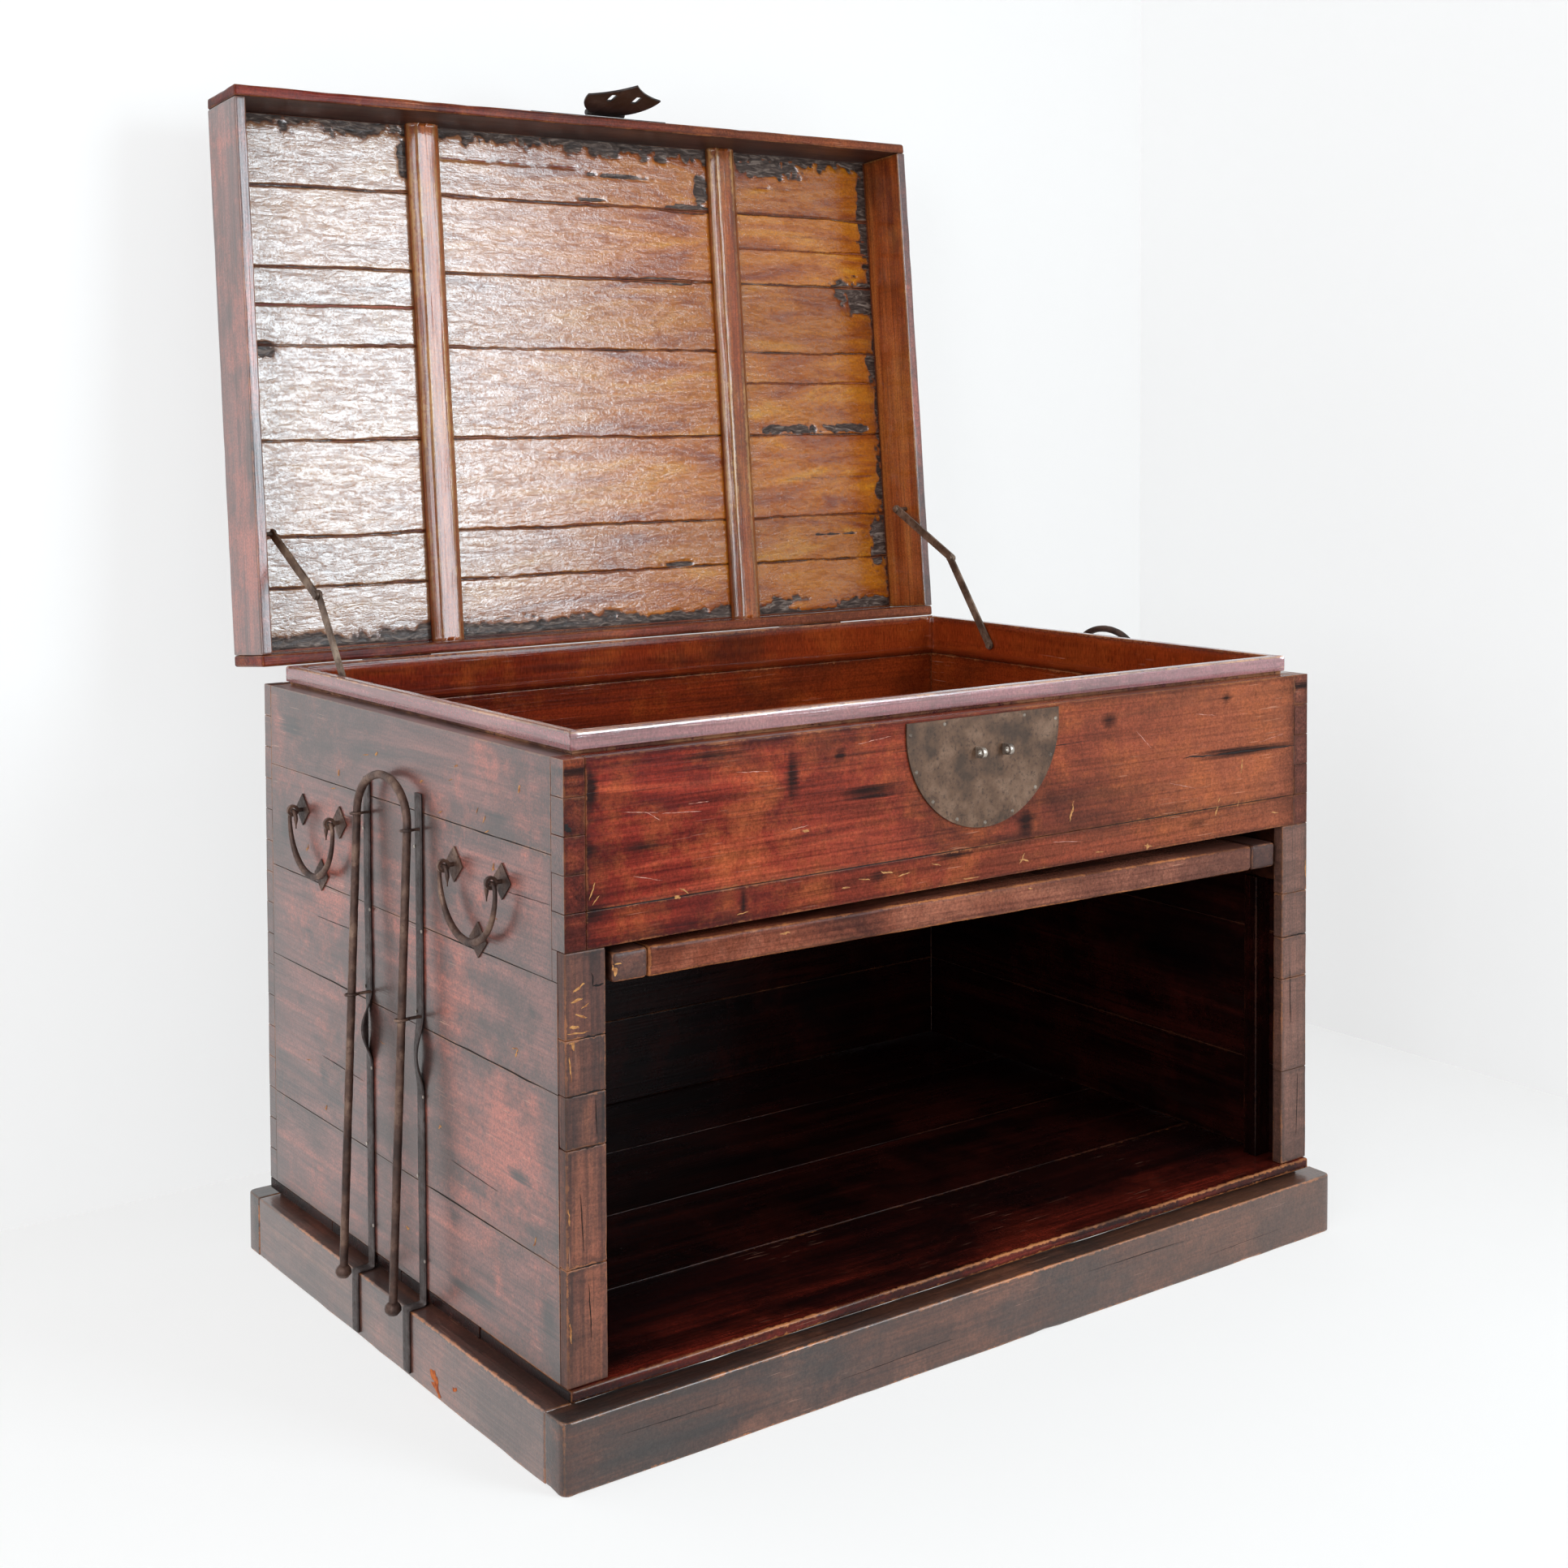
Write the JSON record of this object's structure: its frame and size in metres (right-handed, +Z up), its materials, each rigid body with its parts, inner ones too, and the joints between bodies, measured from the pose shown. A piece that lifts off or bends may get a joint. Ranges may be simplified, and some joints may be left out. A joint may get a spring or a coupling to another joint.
{
  "type": "wooden ship chest",
  "caption": "Lacquered wooden sea chest with a lift-up lid on stays, an upper compartment, a lower one behind a slide-in flap door, iron handles and carrying bars.",
  "frame": {"origin": "on the floor, under the middle of the chest's body (960 by 648 mm)", "axes": "+X to the right seen from the front, +Y to the back, +Z up; the front with the lock faces -Y; the lid is stored open"},
  "size_m": [1.0417, 0.8144, 1.3237],
  "materials": {
    "dark_red_lacquer_wood": "worn red-brown lacquer, satin",
    "worn_plinth_wood": "worn grey-brown lacquer with chips",
    "varnished_inner_wood": "glossy orange-brown varnish",
    "golden_varnished_wood": "rough glossy golden varnish",
    "dark_cabinet_wood": "dark red-brown, glossy",
    "forged_iron": "forged, pitted and oiled",
    "dark_bronze_plate": "dark brown patina",
    "bright_nails": "worn bright"
  },
  "bodies": {
    "case": {"plinth_front": "worn_plinth_wood", "plinth_back": "worn_plinth_wood", "plinth_left": "worn_plinth_wood", "plinth_right": "worn_plinth_wood", "base_frame": "dark_cabinet_wood", "floor_boards": "dark_cabinet_wood", "left_side_planks": "dark_red_lacquer_wood", "right_side_planks": "dark_red_lacquer_wood", "back_planks": "dark_cabinet_wood", "front_upper_plank": "dark_red_lacquer_wood", "front_lower_plank": "dark_red_lacquer_wood", "left_stile_blocks": "dark_red_lacquer_wood", "right_stile_blocks": "dark_red_lacquer_wood", "shelf_boards": "varnished_inner_wood", "rim_front": "varnished_inner_wood", "rim_back": "varnished_inner_wood", "rim_left": "varnished_inner_wood", "rim_right": "varnished_inner_wood", "upper_lining_boards": "varnished_inner_wood", "door_stop_strips": "dark_cabinet_wood", "door_guide_rails": "dark_cabinet_wood", "lock_plate": "dark_bronze_plate", "lock_plate_nails": "bright_nails", "lock_staples": "bright_nails", "bar_staples": "forged_iron", "side_straps": "forged_iron", "strap_nails": "forged_iron", "handle_roses": "forged_iron", "handle_eye_pins": "forged_iron", "handle_strikers": "forged_iron", "case_hinge_leaves": "forged_iron", "hinge_pins": "forged_iron", "stay_case_pins": "forged_iron"},
    "lid": {"lid_front_skirt": "dark_red_lacquer_wood", "lid_back_skirt": "dark_red_lacquer_wood", "lid_left_skirt": "dark_red_lacquer_wood", "lid_right_skirt": "dark_red_lacquer_wood", "lid_top_planks": "golden_varnished_wood", "lid_batten_left": "golden_varnished_wood", "lid_batten_right": "golden_varnished_wood", "hasp_plate": "dark_bronze_plate", "hasp_plate_nails": "bright_nails", "hasp_pin": "forged_iron", "lid_hinge_leaves": "forged_iron", "stay_lid_pins": "forged_iron"},
    "hasp": {"hasp": "forged_iron"},
    "front_left_bail": {"front_left_bail": "forged_iron"},
    "rear_left_bail": {"rear_left_bail": "forged_iron"},
    "front_right_bail": {"front_right_bail": "forged_iron"},
    "rear_right_bail": {"rear_right_bail": "forged_iron"},
    "left_carrying_bar": {"left_carrying_bar": "forged_iron"},
    "right_carrying_bar": {"right_carrying_bar": "forged_iron"},
    "door_pivot_pins": {"door_pivot_pins": "dark_cabinet_wood"},
    "flap_door": {"flap_door_planks": "dark_red_lacquer_wood", "flap_door_ends": "dark_red_lacquer_wood"},
    "left_lower_stay": {"left_lower_stay": "forged_iron"},
    "left_upper_stay": {"left_upper_stay": "forged_iron"},
    "right_lower_stay": {"right_lower_stay": "forged_iron"},
    "right_upper_stay": {"right_upper_stay": "forged_iron"}
  },
  "joints": [
    {"name": "lid_hinge", "type": "hinge", "parent": "case", "child": "lid", "pos_m": [0, 0.3335, 0.637], "axis": [1, 0, 0], "range_deg": [0, 95.3]},
    {"name": "hasp_hinge", "type": "hinge", "parent": "lid", "child": "hasp", "pos_m": [0.005, 0.39538, 1.29761], "axis": [1, 0, 0], "range_deg": [-136, 14]},
    {"name": "front_left_bail_hinge", "type": "hinge", "parent": "case", "child": "front_left_bail", "pos_m": [-0.492, -0.169, 0.506], "axis": [0, 1, 0], "range_deg": [0, 165]},
    {"name": "front_right_bail_hinge", "type": "hinge", "parent": "case", "child": "front_right_bail", "pos_m": [0.492, -0.169, 0.506], "axis": [0, -1, 0], "range_deg": [0, 165]},
    {"name": "rear_left_bail_hinge", "type": "hinge", "parent": "case", "child": "rear_left_bail", "pos_m": [-0.492, 0.176, 0.506], "axis": [0, 1, 0], "range_deg": [0, 165]},
    {"name": "rear_right_bail_hinge", "type": "hinge", "parent": "case", "child": "rear_right_bail", "pos_m": [0.492, 0.176, 0.506], "axis": [0, -1, 0], "range_deg": [0, 165]},
    {"name": "left_bar_slide", "type": "slide", "parent": "case", "child": "left_carrying_bar", "axis": [0.0436, 0, 0.999], "range_m": [0, 0.258]},
    {"name": "right_bar_slide", "type": "slide", "parent": "case", "child": "right_carrying_bar", "axis": [-0.0436, 0, 0.999], "range_m": [-0.08, 0.178]},
    {"name": "door_slide", "type": "slide", "parent": "case", "child": "door_pivot_pins", "axis": [0, -1, 0], "range_m": [0, 0.3325]},
    {"name": "door_hinge", "type": "hinge", "parent": "door_pivot_pins", "child": "flap_door", "pos_m": [0, 0.027, 0.4365], "axis": [0.9999, 0, -0.0115], "range_deg": [0, 90]},
    {"name": "left_lower_stay_hinge", "type": "hinge", "parent": "case", "child": "left_lower_stay", "pos_m": [0, 0.174, 0.621], "axis": [1, 0, 0], "range_deg": [0, 108.5]},
    {"name": "left_upper_stay_hinge", "type": "hinge", "parent": "lid", "child": "left_upper_stay", "pos_m": [0, 0.36797, 0.79097], "axis": [1, 0, 0], "range_deg": [-124.7, 0]},
    {"name": "right_lower_stay_hinge", "type": "hinge", "parent": "case", "child": "right_lower_stay", "pos_m": [0, 0.174, 0.621], "axis": [1, 0, 0], "range_deg": [0, 108.5]},
    {"name": "right_upper_stay_hinge", "type": "hinge", "parent": "lid", "child": "right_upper_stay", "pos_m": [0, 0.36797, 0.79097], "axis": [1, 0, 0], "range_deg": [-124.7, 0]}
  ],
  "couplings": [
    {"joint": "left_lower_stay_hinge", "follows": "lid_hinge", "ratio": 1.1374},
    {"joint": "left_upper_stay_hinge", "follows": "lid_hinge", "ratio": -1.3071},
    {"joint": "right_lower_stay_hinge", "follows": "lid_hinge", "ratio": 1.1374},
    {"joint": "right_upper_stay_hinge", "follows": "lid_hinge", "ratio": -1.3071}
  ]
}
